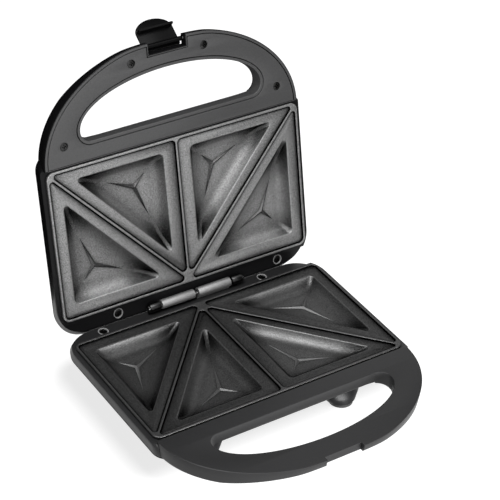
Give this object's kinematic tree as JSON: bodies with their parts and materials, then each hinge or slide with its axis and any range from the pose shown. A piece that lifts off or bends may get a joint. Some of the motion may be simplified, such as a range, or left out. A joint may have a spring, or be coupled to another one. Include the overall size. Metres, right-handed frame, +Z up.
{
  "type": "sandwich toaster",
  "caption": "Countertop sandwich toaster, open: base and hinged lid of one outline, cast plates with triangular pockets, D-shaped handles and a flip latch at the tip.",
  "frame": {"origin": "on the table plane, under the middle of the open toaster's bounding box", "axes": "+X to the toaster's right seen from the handles, +Y to the hinge side, +Z up"},
  "size_m": [0.223, 0.281, 0.2434],
  "materials": {
    "black_plastic": "satin",
    "handle_plastic": "satin",
    "coated_aluminium": "satin non-stick coating",
    "foot_rubber": "matte",
    "pale_plastic": "matte",
    "red_lens": "gloss",
    "green_lens": "gloss",
    "hinge_steel": "satin",
    "steel": "satin"
  },
  "bodies": {
    "base": {"base_housing": "black_plastic", "base_bottom_cover": "black_plastic", "base_handle_covers": "black_plastic", "base_plate": "coated_aluminium", "base_heater": "steel", "base_heat_shield": "steel", "base_shield_screws": "steel", "base_plate_screws": "steel", "base_handle_screws": "steel", "bottom_cover_screws": "steel", "base_shelf_screws": "steel", "rubber_feet": "foot_rubber", "cord_inlet_bush": "foot_rubber", "terminal_block": "pale_plastic", "thermostat": "steel", "thermal_fuse": "pale_plastic", "base_wiring": "pale_plastic", "base_hinge_bracket": "hinge_steel", "base_hinge_screws": "steel", "hinge_pin": "steel"},
    "lid": {"lid_housing": "black_plastic", "lid_cover": "black_plastic", "lid_handle_panel": "handle_plastic", "lid_panel_screws": "steel", "lid_plate": "coated_aluminium", "lid_heater": "steel", "lid_heat_shield": "steel", "lid_shield_screws": "steel", "lid_plate_screws": "steel", "lid_cover_screws": "steel", "lid_shelf_screws": "steel", "lid_hinge_bracket": "hinge_steel", "lid_hinge_screws": "steel", "power_lens": "red_lens", "ready_lens": "green_lens", "indicator_lamps": "pale_plastic", "latch_pin": "steel"},
    "latch": {"latch": "black_plastic"}
  },
  "joints": [
    {"name": "lid_hinge", "type": "hinge", "parent": "base", "child": "lid", "pos_m": [0, 0.06388, 0.0425], "axis": [1, 0, 0], "range_deg": [0, 104.4]},
    {"name": "latch_hinge", "type": "hinge", "parent": "lid", "child": "latch", "pos_m": [0, 0.11877, 0.23458], "axis": [1, 0, 0], "range_deg": [0, 132.6]}
  ]
}
